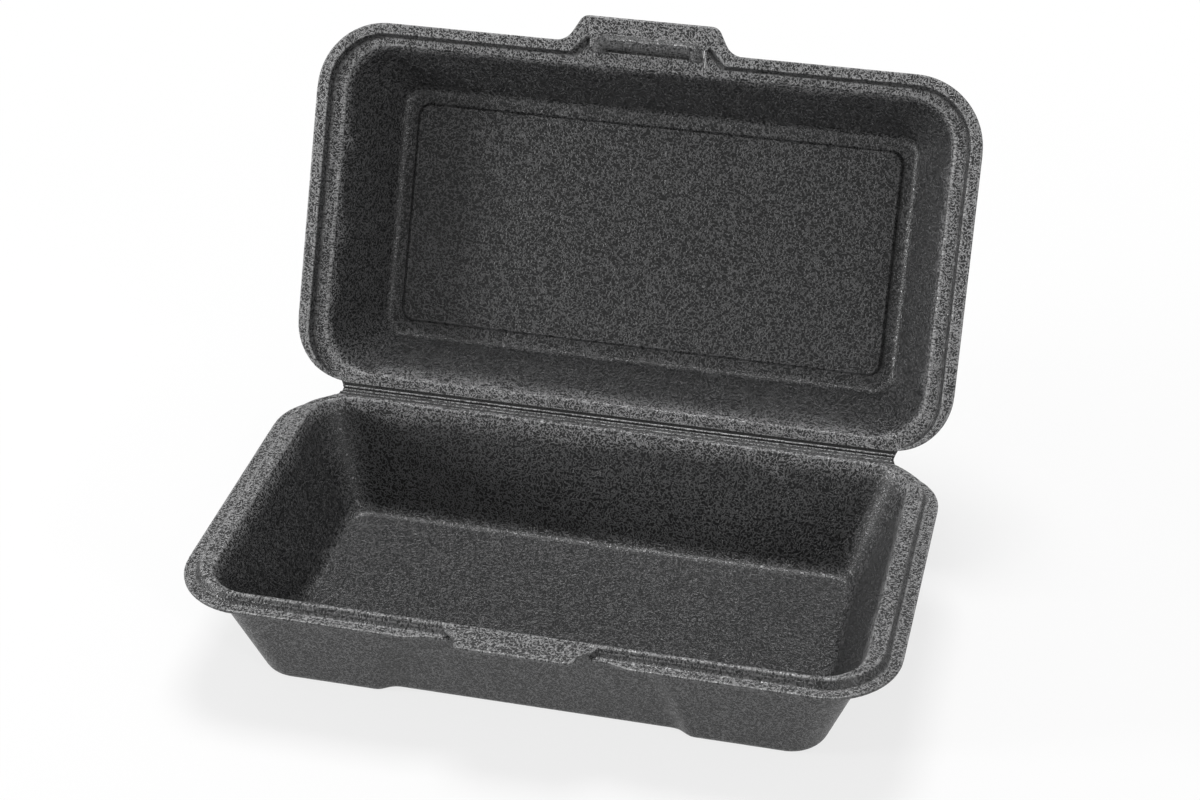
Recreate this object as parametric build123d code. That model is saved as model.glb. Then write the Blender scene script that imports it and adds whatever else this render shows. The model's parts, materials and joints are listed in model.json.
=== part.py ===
from build123d import *
from math import cos, radians, tan
import os

# Foam clamshell food container: a deep tray and a shallower lid pressed from one sheet of
# black polystyrene foam, joined by a pleated living hinge and held shut by a tongue on the
# tray that pushes through a slot in the lid's tab.
# The two halves part only at the hinge line, where the thinnest groove of the web folds.
# Millimetres. The origin is on the ground below the middle of the rim. X runs along the
# hinge, +Y points from the latch to the hinge and +Z up. The lid stands open.

# Rim in plan
LENGTH = 240.0            # rim along the hinge
WIDTH = 132.0             # rim from the latch edge to the hinge side
FRONT_CORNER = 25.2       # both rims, the corners beside the latch
TRAY_BACK_CORNER = 20.0   # tray rim, the corners beside the hinge
LID_BACK_CORNER = 22.0    # lid rim, the corners beside the hinge

# Heights
TRAY_HEIGHT = 40.0        # ground to the top of the tray's flange
CLOSED_HEIGHT = 75.0      # ground to the top of the shut lid
LID_OPEN = 115.5          # degrees from shut, as it stands

# Foam
TRAY_WALL = 3.0           # tray walls and floor, the thicker half, which keeps it standing
LID_WALL = 1.7            # lid walls and top
RIM = 1.1                 # flange, tongue and tab, pressed thin
LAND = 1.6                # foam over the stepped land
CLEAR = 0.3               # air between the halves when shut

# Stepped rim that seats the lid on the tray
SIDE_FLANGE = 4.4         # flat flange outside the step, at the short ends
FRONT_FLANGE = 3.9        # the same, along the latch side
STEP_RUN = 1.5            # how far the step's face leans in
LAND_BACK_CORNER = 19.5   # foot of the step, the corners beside the hinge
RISE_RUN = 10.0           # beside the hinge the flange climbs to the land over this length
RISE_DEPTH = 12.0         # how far the climb reaches from the hinge side
LAND_ROUND = 1.0          # rounding on the land's outer edge
TONGUE_DROP = 0.3         # tongue below the top of the land
STEP = 2 * RIM + 2 * CLEAR + TONGUE_DROP

# Tray cavity
TRAY_SIDE_MARGIN = 11.2   # rim edge to the mouth, short ends
TRAY_FRONT_MARGIN = 7.0   # rim edge to the mouth, latch side
TRAY_BACK_MARGIN = 4.4    # rim edge to the mouth, hinge side
TRAY_END_DRAFT = 20.5     # degrees, short walls
TRAY_LONG_DRAFT = 17.9    # degrees, long walls
TRAY_MOUTH_CORNER = 15.0
TRAY_FLOOR_CORNER = 8.0
TRAY_FOOT_CORNER = 12.5   # outside of the same corner, at the ground
TRAY_FLOOR_ROUND = 5.0    # wall into floor, inside
TRAY_FOOT_ROUND = 5.0     # wall into floor, outside
MOUTH_ROUND = 1.2         # inner edge of both rims

# Finger bay pressed into the tray's latch wall
BAY_FOOT = 49.0           # half width at the ground
BAY_HEAD = 40.0           # half width under the rim
BAY_FLANK = 4.5           # width of each sloping side
BAY_FOOT_DEPTH = 3.2
BAY_HEAD_DEPTH = 2.0
BAY_ROUND = 6.0           # plan rounding of the bay's corners

# Notches that free the tongue from the flange
NOTCH_OUTER = 36.5        # half distance where the flange starts to narrow
NOTCH_INNER = 29.5        # half distance where it is narrowest
NOTCH_DEPTH = 2.0
NOTCH_ROUND = 8.0
NOTCH_END = 23.0          # half distance where the narrow flange ends, below the tongue

# Tongue
TONGUE_ROOT = 25.0        # half width at the land
TONGUE_TIP = 19.9         # half width of the part that enters the slot
TONGUE_REACH = 5.0        # past the rim's front edge
TONGUE_LOBE = 4.3         # length of the parallel part
TONGUE_FLANK = 4.0        # length of the tapered part
TONGUE_CORNER = 2.6
TONGUE_BEND = 2.5
BEAD_END = 22.0           # half width of the flat between the ends of the raised land

# Lid cavity
LID_SIDE_MARGIN = 10.0
LID_FRONT_MARGIN = 7.7
LID_BACK_MARGIN = 4.7
LID_END_DRAFT = 26.0
LID_FRONT_DRAFT = 26.5
LID_BACK_DRAFT = 23.5
LID_MOUTH_CORNER = 17.0
LID_TOP_CORNER = 6.5
LID_INNER_ROUND = 4.0
LID_OUTER_ROUND = 5.0

# Stacking panel in the lid, sunk outside and raised inside
PANEL_MARGIN = 5.0        # inner wall of the lid to the panel's edge
PANEL_DEPTH = 1.0
PANEL_CORNER = 5.0
PANEL_EDGE_RUN = 0.8      # how far the panel's edge leans in

# Lid tab
TAB_REACH = 9.5           # past the rim's front edge
TAB_ROOT = 29.6           # half width at the rim
TAB_TIP = 24.2            # half width at its front edge
TAB_ROOT_ROUND = 6.8
TAB_TIP_ROUND = 3.8

# Pocket in the tab that takes the root of the tongue
POCKET_REACH = 2.0        # past the rim's front edge
POCKET_ROOT = 27.6        # half width at the step
POCKET_TIP = 22.2         # half width at its front edge
POCKET_ROUND = 1.5

# Slot and bar in the tab
SLOT_HALF = TONGUE_TIP + CLEAR
BAR_SETBACK = 1.9         # rim's front edge back to the near side of the bar
LIP_OVERLAP = 0.3         # the lip behind the slot reaches this far over the bar
BAR_WIDTH = 4.8
BAR_SLIT = 0.4            # cut beside each end of the bar
BAR_DROP = 2.0            # bar below the flange, towards the tray
BAR_LEG = 1.6             # the bar's ends turn back this far
BAR_BEND = 2.6            # radius of the bend at each end of the bar
BAR_SEAT = 0.8            # tab's foam runs into the bar's far side
BAR_CHEEK = 1.0           # tab's foam beside the bar's bends, past the slot's ends
BAR_END_ROUND = 0.8       # rounding on the free edge of each turned-back end
SLIT_RUN = 3.4            # the slits cut this far into the lip

# Living hinge
HINGE_SET = 1.3           # fold line behind the rim's nominal back edge
TRAY_STRIP = 3.6          # web from the tray's rim to the fold
LID_STRIP = 1.9           # web from the fold to the lid's rim
HINGE_END_SET = 2.0       # how far the web runs into the rim's corner curve
WEB = 0.4                 # thinnest foam, in the grooves
PLEAT = 0.9               # thickness of a pleat
TRAY_PLEAT_WIDTH = 1.5
LID_PLEAT_WIDTH = 1.2
STRIP_ROOT = 0.6          # web buried in each rim

# Levels and lines that follow from the sizes above
EDGE = WIDTH / 2                                  # rim's front edge is at y = -EDGE
LAND_Z = TRAY_HEIGHT + STEP                       # top of the tray's land
HINGE_Y = EDGE + HINGE_SET
HINGE_Z = LAND_Z + CLEAR / 2
LID_FLANGE_Z = TRAY_HEIGHT + CLEAR                # lid's flange, face towards the tray
LID_LAND_Z = LAND_Z + CLEAR                       # lid's land, face towards the tray
LID_CEILING_Z = CLOSED_HEIGHT - LID_WALL
TRAY_BACK = HINGE_Y - TRAY_STRIP                  # back edge of the tray's rim
LID_BACK = HINGE_Y - LID_STRIP                    # back edge of the lid's rim, shut
TONGUE_Z = LAND_Z - TONGUE_DROP                   # top of the tongue
LIP = -EDGE + BAR_SETBACK - LIP_OVERLAP           # free edge of the lid's land at the slot
HINGE_HALF = LENGTH / 2 - TRAY_BACK_CORNER + HINGE_END_SET
CUT = 1.0                                         # how far a cutter runs past a face
TOUCH = 0.01                                      # closer than this lies on an outline


# Outlines and blocks
def level_face(points, radii, z):
    """A face at height z whose corners are rounded one by one."""
    return Pos(0, 0, z) * make_face(FilletPolyline(*points, radius=radii, close=True))


def mirrored(front_points, radii, half, back, back_corner):
    """Close an outline that is the same left and right.

    The front points run from the left corner to the middle, their radii beside them.
    """
    points = list(front_points)
    points += [(-x, y) for x, y in reversed(front_points)]
    points += [(half, back), (-half, back)]
    return points, list(radii) + list(reversed(radii)) + [back_corner, back_corner]


def plain_rim(half, front, back, corner, back_corner, z):
    """A rim outline with nothing on its front edge."""
    return level_face(*mirrored([(-half, front)], [corner], half, back, back_corner), z)


def block(half, front, back, low, high):
    """A box from -half to half in X, between two Y lines and two levels."""
    return Pos(0, (front + back) / 2, (low + high) / 2) * Box(2 * half, back - front, high - low)


def level_edges(solid, z):
    """The edges of a solid that lie at height z."""
    return solid.edges().filter_by_position(Axis.Z, z, z)


def round_mouth(part, mouth):
    """Round the edge where a rim's land turns down into the cavity, along the mouth's outline."""
    outline = mouth.wire()
    edges = part.edges().filter_by(lambda edge: outline.distance_to(edge @ 0.5) < TOUCH)
    return fillet(edges, MOUTH_ROUND)


def rise(level, low, back):
    """A prism along the hinge side: at a level between the hinge's ends, a step lower beyond.

    It shapes the climb of a flange to its land beside the hinge.
    """
    foot = HINGE_HALF + RISE_RUN
    left = [(-foot, low), (-foot, level - STEP), (-HINGE_HALF, level)]
    right = [(-x, z) for x, z in reversed(left)]
    profile = make_face(Plane.XZ.offset(-back) * Polyline(*left, *right, close=True))
    return extrude(profile, RISE_DEPTH, dir=(0, -1, 0))


def frustum(lower, upper):
    """A straight-walled block between two outlines with the same corners."""
    return loft([lower, upper], ruled=True)


# Tray
def tray_section(z, skin, corner_at_ground, bay_depth=None):
    """The tray's wall at height z, skin outside the cavity, with the finger bay if asked."""
    drop = LAND_Z - z
    end_slope = radians(TRAY_END_DRAFT)
    long_slope = radians(TRAY_LONG_DRAFT)
    half = LENGTH / 2 - TRAY_SIDE_MARGIN - drop * tan(end_slope) + skin / cos(end_slope)
    front = -EDGE + TRAY_FRONT_MARGIN + drop * tan(long_slope) - skin / cos(long_slope)
    back = EDGE - TRAY_BACK_MARGIN - drop * tan(long_slope) + skin / cos(long_slope)
    corner_at_mouth = TRAY_MOUTH_CORNER + skin
    corner = corner_at_ground + (corner_at_mouth - corner_at_ground) * z / LAND_Z
    if bay_depth is None:
        return plain_rim(half, front, back, corner, corner, z)
    bay = BAY_FOOT + (BAY_HEAD - BAY_FOOT) * z / TRAY_HEIGHT
    points = [(-half, front), (-bay - BAY_FLANK, front), (-bay, front + bay_depth)]
    radii = [corner, BAY_ROUND, BAY_ROUND]
    return level_face(*mirrored(points, radii, half, back, corner), z)


def bay_depth(z):
    """Depth of the finger bay at height z."""
    return BAY_FOOT_DEPTH + (BAY_HEAD_DEPTH - BAY_FOOT_DEPTH) * z / TRAY_HEIGHT


def tray_body(floor_z, bay_top, top, skin, corner_at_ground, floor_round):
    """The tray's solid form up to a level: bayed walls, plain above the bay."""
    lower = frustum(
        tray_section(floor_z, skin, corner_at_ground, bay_depth(floor_z)),
        tray_section(bay_top, skin, corner_at_ground, bay_depth(bay_top)),
    )
    lower = fillet(level_edges(lower, floor_z), floor_round)
    upper = frustum(
        tray_section(bay_top, skin, corner_at_ground),
        tray_section(top, skin, corner_at_ground),
    )
    return lower + upper


def tray_land_face(inset, z):
    """Outline of the tray's raised land, drawn in from the foot of its step."""
    half = LENGTH / 2 - SIDE_FLANGE - inset
    front = -EDGE + FRONT_FLANGE + inset
    corner = FRONT_CORNER - SIDE_FLANGE - inset
    return plain_rim(half, front, TRAY_BACK, corner, LAND_BACK_CORNER - inset, z)


def tray_rim():
    """Flange with its two notches, and the raised land, hollow below."""
    narrow = -EDGE + NOTCH_DEPTH
    points = [
        (-LENGTH / 2, -EDGE),
        (-NOTCH_OUTER, -EDGE),
        (-NOTCH_INNER, narrow),
        (-NOTCH_END, narrow),
        (-NOTCH_END, -EDGE + FRONT_FLANGE),
    ]
    radii = [FRONT_CORNER, NOTCH_ROUND, NOTCH_ROUND, 0, 0]
    flange_face = level_face(
        *mirrored(points, radii, LENGTH / 2, TRAY_BACK, TRAY_BACK_CORNER), TRAY_HEIGHT - RIM
    )
    flange = extrude(flange_face, RIM)
    land = frustum(tray_land_face(0, TRAY_HEIGHT), tray_land_face(STEP_RUN, LAND_Z))
    land = fillet(level_edges(land, LAND_Z), LAND_ROUND)
    climb = rise(LAND_Z, TRAY_HEIGHT - RIM, TRAY_BACK) & extrude(flange_face, RIM + STEP)
    hollow = frustum(
        tray_land_face(RIM, TRAY_HEIGHT - RIM - CUT),
        tray_land_face(RIM + STEP_RUN, LAND_Z - LAND),
    )
    under_climb = rise(LAND_Z - RIM, TRAY_HEIGHT - RIM - CUT, TRAY_BACK)
    return flange + land + climb - hollow - under_climb


def tongue():
    """Flat tongue at the level of the land, tapered to the lobe that enters the slot."""
    tip = -EDGE - TONGUE_REACH
    lobe = tip + TONGUE_LOBE
    shoulder = lobe + TONGUE_FLANK
    root = -EDGE + TRAY_FRONT_MARGIN - MOUTH_ROUND
    points = [(-TONGUE_ROOT, shoulder), (-TONGUE_TIP, lobe), (-TONGUE_TIP, tip)]
    radii = [TONGUE_BEND, TONGUE_BEND, TONGUE_CORNER]
    face = level_face(*mirrored(points, radii, TONGUE_ROOT, root, 0), TONGUE_Z - RIM)
    return extrude(face, RIM)


def strip(near, far, pleat_middle, pleat_width, top):
    """Half of the living hinge: a thin web with one round-edged pleat along it.

    Near and far are Y lines, and top is the level of the face that folds inwards.
    """
    middle = top - PLEAT / 2
    web = Pos((near + far) / 2, middle) * Rectangle(far - near, WEB)
    pleat = Pos(pleat_middle, middle) * SlotOverall(pleat_width, PLEAT)
    profile = Plane.YZ * (web + pleat)
    return extrude(profile, HINGE_HALF, both=True)


def tray():
    """Lower half: walls, floor, rim, tongue and its half of the hinge."""
    shell = tray_body(
        0, TRAY_HEIGHT - RIM, LAND_Z - LAND, TRAY_WALL, TRAY_FOOT_CORNER, TRAY_FOOT_ROUND
    )
    cavity = tray_body(
        TRAY_WALL, TRAY_HEIGHT - RIM - TRAY_WALL, LAND_Z, 0, TRAY_FLOOR_CORNER, TRAY_FLOOR_ROUND
    )
    part = tray_rim() + shell - cavity
    part = round_mouth(part, tray_section(LAND_Z, 0, TRAY_FLOOR_CORNER))
    part += tongue()
    flat_front = -EDGE - CUT
    flat_back = -EDGE + TRAY_FRONT_MARGIN + MOUTH_ROUND
    part -= block(BEAD_END, flat_front, flat_back, TONGUE_Z, LAND_Z + CUT)
    fold = HINGE_Y - CLEAR / 2
    pleat_middle = HINGE_Y - TRAY_STRIP / 2
    part += strip(TRAY_BACK - STRIP_ROOT, fold, pleat_middle, TRAY_PLEAT_WIDTH, LAND_Z)
    return part


# Lid, drawn shut
def lid_section(z, skin):
    """The lid's wall at height z when shut, skin outside the cavity."""
    rise = z - LID_LAND_Z
    end_slope = radians(LID_END_DRAFT)
    front_slope = radians(LID_FRONT_DRAFT)
    back_slope = radians(LID_BACK_DRAFT)
    half = LENGTH / 2 - LID_SIDE_MARGIN - rise * tan(end_slope) + skin / cos(end_slope)
    front = -EDGE + LID_FRONT_MARGIN + rise * tan(front_slope) - skin / cos(front_slope)
    back = EDGE - LID_BACK_MARGIN - rise * tan(back_slope) + skin / cos(back_slope)
    share = rise / (LID_CEILING_Z - LID_LAND_Z)
    corner = LID_MOUTH_CORNER + (LID_TOP_CORNER - LID_MOUTH_CORNER) * share + skin
    return half, front, back, corner


def lid_wall_face(z, skin):
    """The same wall as a level face."""
    half, front, back, corner = lid_section(z, skin)
    return plain_rim(half, front, back, corner, corner, z)


def lid_land_face(grow, z):
    """Outline of the lid's land, with the pocket for the tongue, grown from the tray's step."""
    half = LENGTH / 2 - SIDE_FLANGE + grow
    front = -EDGE + FRONT_FLANGE - grow
    points = [
        (-half, front),
        (-POCKET_ROOT - grow, front),
        (-POCKET_TIP - grow, -EDGE - POCKET_REACH - grow),
    ]
    radii = [FRONT_CORNER - SIDE_FLANGE + grow, POCKET_ROUND, POCKET_ROUND + RIM + grow]
    return level_face(*mirrored(points, radii, half, LID_BACK, LAND_BACK_CORNER + grow), z)


def lid_rim():
    """Flange with the latch tab, and the land raised over the tray's."""
    points = [(-LENGTH / 2, -EDGE), (-TAB_ROOT, -EDGE), (-TAB_TIP, -EDGE - TAB_REACH)]
    radii = [FRONT_CORNER, TAB_ROOT_ROUND, TAB_TIP_ROUND]
    flange_face = level_face(
        *mirrored(points, radii, LENGTH / 2, LID_BACK, LID_BACK_CORNER), LID_FLANGE_Z
    )
    flange = extrude(flange_face, RIM)
    over = frustum(
        lid_land_face(CLEAR + RIM, LID_FLANGE_Z + RIM),
        lid_land_face(CLEAR + RIM - STEP_RUN, LID_LAND_Z + LAND),
    )
    over = fillet(level_edges(over, LID_LAND_Z + LAND), LAND_ROUND)
    climb = rise(LID_LAND_Z + RIM, LID_FLANGE_Z, LID_BACK) & extrude(flange_face, STEP + RIM)
    under = frustum(
        lid_land_face(CLEAR, LID_FLANGE_Z),
        lid_land_face(CLEAR - STEP_RUN, LID_LAND_Z),
    )
    under_climb = rise(LID_LAND_Z, LID_FLANGE_Z - CUT, LID_BACK)
    return flange + over + climb - under - under_climb


def lid_panel(outline_z, face_z, margin):
    """A rounded block from the lid's ceiling to the face of the stacking panel."""
    half, front, back, _ = lid_section(LID_CEILING_Z, 0)
    foot = plain_rim(
        half - margin, front + margin, back - margin, PANEL_CORNER, PANEL_CORNER, outline_z
    )
    inset = margin + PANEL_EDGE_RUN
    corner = PANEL_CORNER - PANEL_EDGE_RUN
    head = plain_rim(half - inset, front + inset, back - inset, corner, corner, face_z)
    return frustum(foot, head)


def bar_tube(radius):
    """A round bar along the latch side, its two ends turned back towards the slot."""
    near = -EDGE + BAR_SETBACK
    middle = near - BAR_WIDTH / 2
    half = SLOT_HALF - BAR_SLIT - BAR_WIDTH / 2
    level = LID_FLANGE_Z - BAR_DROP + BAR_WIDTH / 2
    corners = [(-half, near + BAR_LEG), (-half, middle), (half, middle), (half, near + BAR_LEG)]
    path = Pos(0, 0, level) * FilletPolyline(*corners, radius=BAR_BEND)
    section = Plane(origin=path @ 0, z_dir=path % 0) * Circle(radius)
    return sweep(section, path)


def bar():
    """Half-round hollow bar that hooks under the tongue."""
    top = LID_FLANGE_Z + RIM
    above = block(LENGTH / 2, -EDGE - TAB_REACH, 0, top, top + BAR_WIDTH)
    outside = bar_tube(BAR_WIDTH / 2) - above
    end = -EDGE + BAR_SETBACK + BAR_LEG
    free = outside.edges().filter_by_position(Axis.Y, end, end).filter_by(GeomType.CIRCLE)
    return fillet(free, BAR_END_ROUND) - bar_tube(BAR_WIDTH / 2 - RIM)


def slot_opening(low, high):
    """The opening that the bar lies in, its far corners rounded like the bar's bends."""
    far = -EDGE + BAR_SETBACK - BAR_WIDTH + BAR_SEAT
    corner = BAR_BEND + BAR_WIDTH / 2
    outline = plain_rim(SLOT_HALF, far, LIP + corner, corner, 0, low)
    return extrude(outline, high - low) & block(SLOT_HALF, far, LIP, low, high)


def bar_seat():
    """The tab's foam that reaches into the pocket, round the bar's bends."""
    low = LID_FLANGE_Z
    high = LID_FLANGE_Z + RIM
    plate = block(SLOT_HALF + BAR_CHEEK, -EDGE - POCKET_REACH - RIM, LIP, low, high)
    return plate - slot_opening(low, high)


def slot_cuts():
    """The bar's opening, the tongue's way below the lip, and the two slits."""
    outer_face = LID_FLANGE_Z + RIM
    high = LID_LAND_Z + LAND + CUT
    low = LID_FLANGE_Z - CUT
    way = block(SLOT_HALF, -EDGE - TAB_REACH, LIP, outer_face, high)
    slit = Pos(SLOT_HALF - BAR_SLIT / 2, LIP + SLIT_RUN / 2, (low + high) / 2)
    slit *= Box(BAR_SLIT, SLIT_RUN, high - low)
    return slot_opening(low, high) + way + slit + mirror(slit, Plane.YZ)


def lid_shut():
    """Upper half in its shut place: walls, panel, rim, slot, bar and its half of the hinge."""
    shell = frustum(lid_wall_face(LID_LAND_Z, LID_WALL), lid_wall_face(CLOSED_HEIGHT, LID_WALL))
    shell = fillet(level_edges(shell, CLOSED_HEIGHT), LID_OUTER_ROUND)
    cavity = frustum(lid_wall_face(LID_LAND_Z, 0), lid_wall_face(LID_CEILING_Z, 0))
    cavity = fillet(level_edges(cavity, LID_CEILING_Z), LID_INNER_ROUND)
    part = lid_rim() + shell - cavity
    part = round_mouth(part, lid_wall_face(LID_LAND_Z, 0))
    part += lid_panel(LID_CEILING_Z, LID_CEILING_Z - PANEL_DEPTH, PANEL_MARGIN)
    part -= lid_panel(CLOSED_HEIGHT, CLOSED_HEIGHT - PANEL_DEPTH, PANEL_MARGIN + PANEL_DEPTH)
    part -= slot_cuts()
    part += bar_seat() + bar()
    fold = HINGE_Y - CLEAR / 2
    pleat_middle = HINGE_Y - LID_STRIP / 2
    top = LID_LAND_Z + PLEAT
    part += strip(LID_BACK - STRIP_ROOT, fold, pleat_middle, LID_PLEAT_WIDTH, top)
    return part


def lid():
    """The lid opened about the fold line."""
    fold_line = Axis((0, HINGE_Y, HINGE_Z), (1, 0, 0))
    return lid_shut().rotate(fold_line, -LID_OPEN)


os.makedirs("parts", exist_ok=True)
export_step(tray(), "parts/tray.step")
export_step(lid(), "parts/lid.step")
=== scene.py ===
# %% [markdown]
# # A black foam clamshell food container
#
# The container is pressed from one sheet of black polystyrene foam. The press closes the
# foam's cells at the surface into a thin satin skin with a fine leathery grain. Every edge
# that the press made is soft, and the lid hangs on a strip that was pressed so thin that it
# folds. This lesson dresses the measured model of the container: the solids give every form
# and size, and Blender gives the soft edges, the folding strip, the skin and the light.

import json
import math

import bmesh
import bpy
import numpy as np
from mathutils import Matrix, Vector, noise


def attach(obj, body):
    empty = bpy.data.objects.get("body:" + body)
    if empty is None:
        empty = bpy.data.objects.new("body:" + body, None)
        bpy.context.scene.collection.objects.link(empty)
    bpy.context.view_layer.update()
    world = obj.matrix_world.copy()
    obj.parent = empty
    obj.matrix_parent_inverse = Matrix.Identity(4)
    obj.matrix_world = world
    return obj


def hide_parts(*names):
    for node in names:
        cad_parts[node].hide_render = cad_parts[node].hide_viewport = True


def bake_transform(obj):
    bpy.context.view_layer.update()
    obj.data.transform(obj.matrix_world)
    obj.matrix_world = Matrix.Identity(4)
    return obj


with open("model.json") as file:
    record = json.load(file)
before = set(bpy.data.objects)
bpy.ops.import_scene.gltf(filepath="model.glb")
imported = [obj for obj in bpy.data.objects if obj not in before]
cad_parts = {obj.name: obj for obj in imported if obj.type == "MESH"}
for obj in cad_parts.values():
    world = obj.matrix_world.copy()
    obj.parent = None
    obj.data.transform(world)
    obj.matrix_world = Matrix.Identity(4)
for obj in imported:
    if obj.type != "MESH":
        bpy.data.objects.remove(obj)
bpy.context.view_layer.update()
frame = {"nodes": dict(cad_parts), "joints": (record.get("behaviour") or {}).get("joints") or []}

# %% [markdown]
# ## Lines to build from
#
# Everything that Blender adds lies along the living hinge, so the hinge's joint is the best
# thing to measure from. The joint says where the fold line is, and its limits say how far the
# lid stands open. Two unit vectors follow from that: one along the open lid, away from the
# fold, and one through the lid, from its inside to its outside. Turned back by the same
# angle, the lid lies shut over the tray, and there its walls and edges are as easy to
# describe as the tray's.

# %% Hinge line and the open lid's directions
MM = 0.001
hinge = frame["joints"][0]
FOLD = Vector(hinge["pos_m"])
OPEN_ANGLE = math.radians(-hinge["range_deg"][0])
ALONG_LID = Vector((0, -math.cos(OPEN_ANGLE), math.sin(OPEN_ANGLE)))
THROUGH_LID = Vector((0, math.sin(OPEN_ANGLE), math.cos(OPEN_ANGLE)))
SHUT_TURN = Matrix.Rotation(OPEN_ANGLE, 4, "X")
SHUT_LID = Matrix.Translation(FOLD) @ SHUT_TURN @ Matrix.Translation(-FOLD)
OPEN_LID = SHUT_LID.inverted()
TRAY_STRIP = 3.6 * MM     # tray's rim to the fold line
LID_STRIP = 1.9 * MM      # fold line to the lid's rim
HINGE_HALF = 102.0 * MM   # half the length of the folding strip
print("fold line at", [round(value, 5) for value in FOLD],
      "lid open by", round(math.degrees(OPEN_ANGLE), 1), "degrees")

# %% [markdown]
# ## Soft edges on the pressed halves
#
# Foam can't hold a sharp edge. One way to soften a measured solid is a bevel on each edge,
# but where several small steps meet, as at the latch, bevels tear. Here a copy of each half
# is rebuilt from small cubes of space, a voxel remesh, and then smoothed: the form stays and
# every corner turns round by about the same small radius, as a press leaves it. The strip of
# the living hinge is cut off first, because it is thinner than the cubes can follow. A last
# step thins out the flat stretches, where small faces do nothing.

# %% Rebuild a half with soft edges
VOXEL = 0.3 * MM
SOFTEN_SHARE = 0.5             # how far each turn moves a point towards its neighbours
SOFTEN_TURNS = 5
TRIANGLE_BUDGET = 190000       # for each half
MERGE_WITHIN = 0.001 * MM


def cut_copy(node, point, outward):
    """A copy of a node's mesh with everything beyond a plane cut off and the cut closed."""
    mesh = bmesh.new()
    mesh.from_mesh(frame["nodes"][node].data)
    bmesh.ops.remove_doubles(mesh, verts=mesh.verts, dist=MERGE_WITHIN)
    everything = mesh.verts[:] + mesh.edges[:] + mesh.faces[:]
    cut = bmesh.ops.bisect_plane(
        mesh, geom=everything, plane_co=point, plane_no=outward, clear_outer=True
    )
    rim = [part for part in cut["geom_cut"] if isinstance(part, bmesh.types.BMEdge)]
    bmesh.ops.holes_fill(mesh, edges=rim, sides=0)
    bmesh.ops.triangulate(mesh, faces=mesh.faces)
    bmesh.ops.recalc_face_normals(mesh, faces=mesh.faces)
    open_edges = sum(1 for edge in mesh.edges if not edge.is_manifold)
    data = bpy.data.meshes.new(node + "_cut")
    mesh.to_mesh(data)
    mesh.free()
    print(node, "copied and cut,", open_edges, "open edges")
    return data


def applied(piece):
    """Turn a piece's modifiers into plain mesh."""
    graph = bpy.context.evaluated_depsgraph_get()
    data = bpy.data.meshes.new_from_object(piece.evaluated_get(graph))
    piece.modifiers.clear()
    piece.data = data
    return len(data.polygons)


def soften(name, node, point, outward):
    """The soft-edged piece that stands for a measured half."""
    piece = bpy.data.objects.new(name, cut_copy(node, point, outward))
    bpy.context.scene.collection.objects.link(piece)
    cubes = piece.modifiers.new("cubes", "REMESH")
    cubes.mode = "VOXEL"
    cubes.voxel_size = VOXEL
    smooth = piece.modifiers.new("soften", "SMOOTH")
    smooth.factor = SOFTEN_SHARE
    smooth.iterations = SOFTEN_TURNS
    faces = applied(piece)
    thin = piece.modifiers.new("thin", "DECIMATE")
    thin.ratio = TRIANGLE_BUDGET / (2 * faces)
    left = applied(piece)
    piece.data.polygons.foreach_set("use_smooth", [True] * left)
    triangles = len(piece.data.loops) - 2 * left
    print(name, "remeshed to", faces, "faces, thinned to", triangles, "triangles")
    return piece


tray_edge = FOLD - Vector((0, TRAY_STRIP, 0))
tray_shell = soften("tray_shell", "tray", tray_edge, (0, 1, 0))
lid_edge = FOLD + LID_STRIP * ALONG_LID
lid_shell = soften("lid_shell", "lid", lid_edge, -ALONG_LID)

# %% [markdown]
# ## The two slits beside the bar
#
# A knife slits the lid's land at each end of the latch bar, so that the foam between can
# bend. The slits are as narrow as a voxel, so the remesh closes them, and they are cut again
# afterwards with two thin blades and a Boolean.

# %% Cut the slits again
SLIT_WIDTH = 0.35 * MM
SLIT_AT = 20.0 * MM               # from the middle of the latch to a slit's middle
SLIT_REACH = (-67.0, -61.0)       # in mm, shut, from under the bar's bend into the land
SLIT_LEVELS = (39.5, 47.0)        # in mm, shut, from below the tab to above the land


def blade(side):
    """A thin upright box where one slit goes, placed on the open lid."""
    mesh = bmesh.new()
    bmesh.ops.create_cube(mesh, size=1)
    near, far = SLIT_REACH
    low, high = SLIT_LEVELS
    middle = Vector((side * SLIT_AT, (near + far) / 2 * MM, (low + high) / 2 * MM))
    size = Matrix.Diagonal((SLIT_WIDTH, (far - near) * MM, (high - low) * MM, 1))
    bmesh.ops.transform(mesh, matrix=OPEN_LID @ Matrix.Translation(middle) @ size,
                        verts=mesh.verts)
    data = bpy.data.meshes.new("blade")
    mesh.to_mesh(data)
    mesh.free()
    piece = bpy.data.objects.new("blade", data)
    bpy.context.scene.collection.objects.link(piece)
    return piece


blades = [blade(side) for side in (-1, 1)]
for knife in blades:
    slit = lid_shell.modifiers.new("slit", "BOOLEAN")
    slit.operation = "DIFFERENCE"
    slit.solver = "EXACT"
    slit.object = knife
faces = applied(lid_shell)
for knife in blades:
    bpy.data.objects.remove(knife)
lid_shell.data.polygons.foreach_set("use_smooth", [True] * faces)
print("lid shell with its two slits:", faces, "faces")

# %% Let each shell ride on its half and stand for it
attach(tray_shell, "tray")
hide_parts("tray")
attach(lid_shell, "lid")
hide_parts("lid")
print("riding on tray and lid:", tray_shell.name, "and", lid_shell.name)
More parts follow.
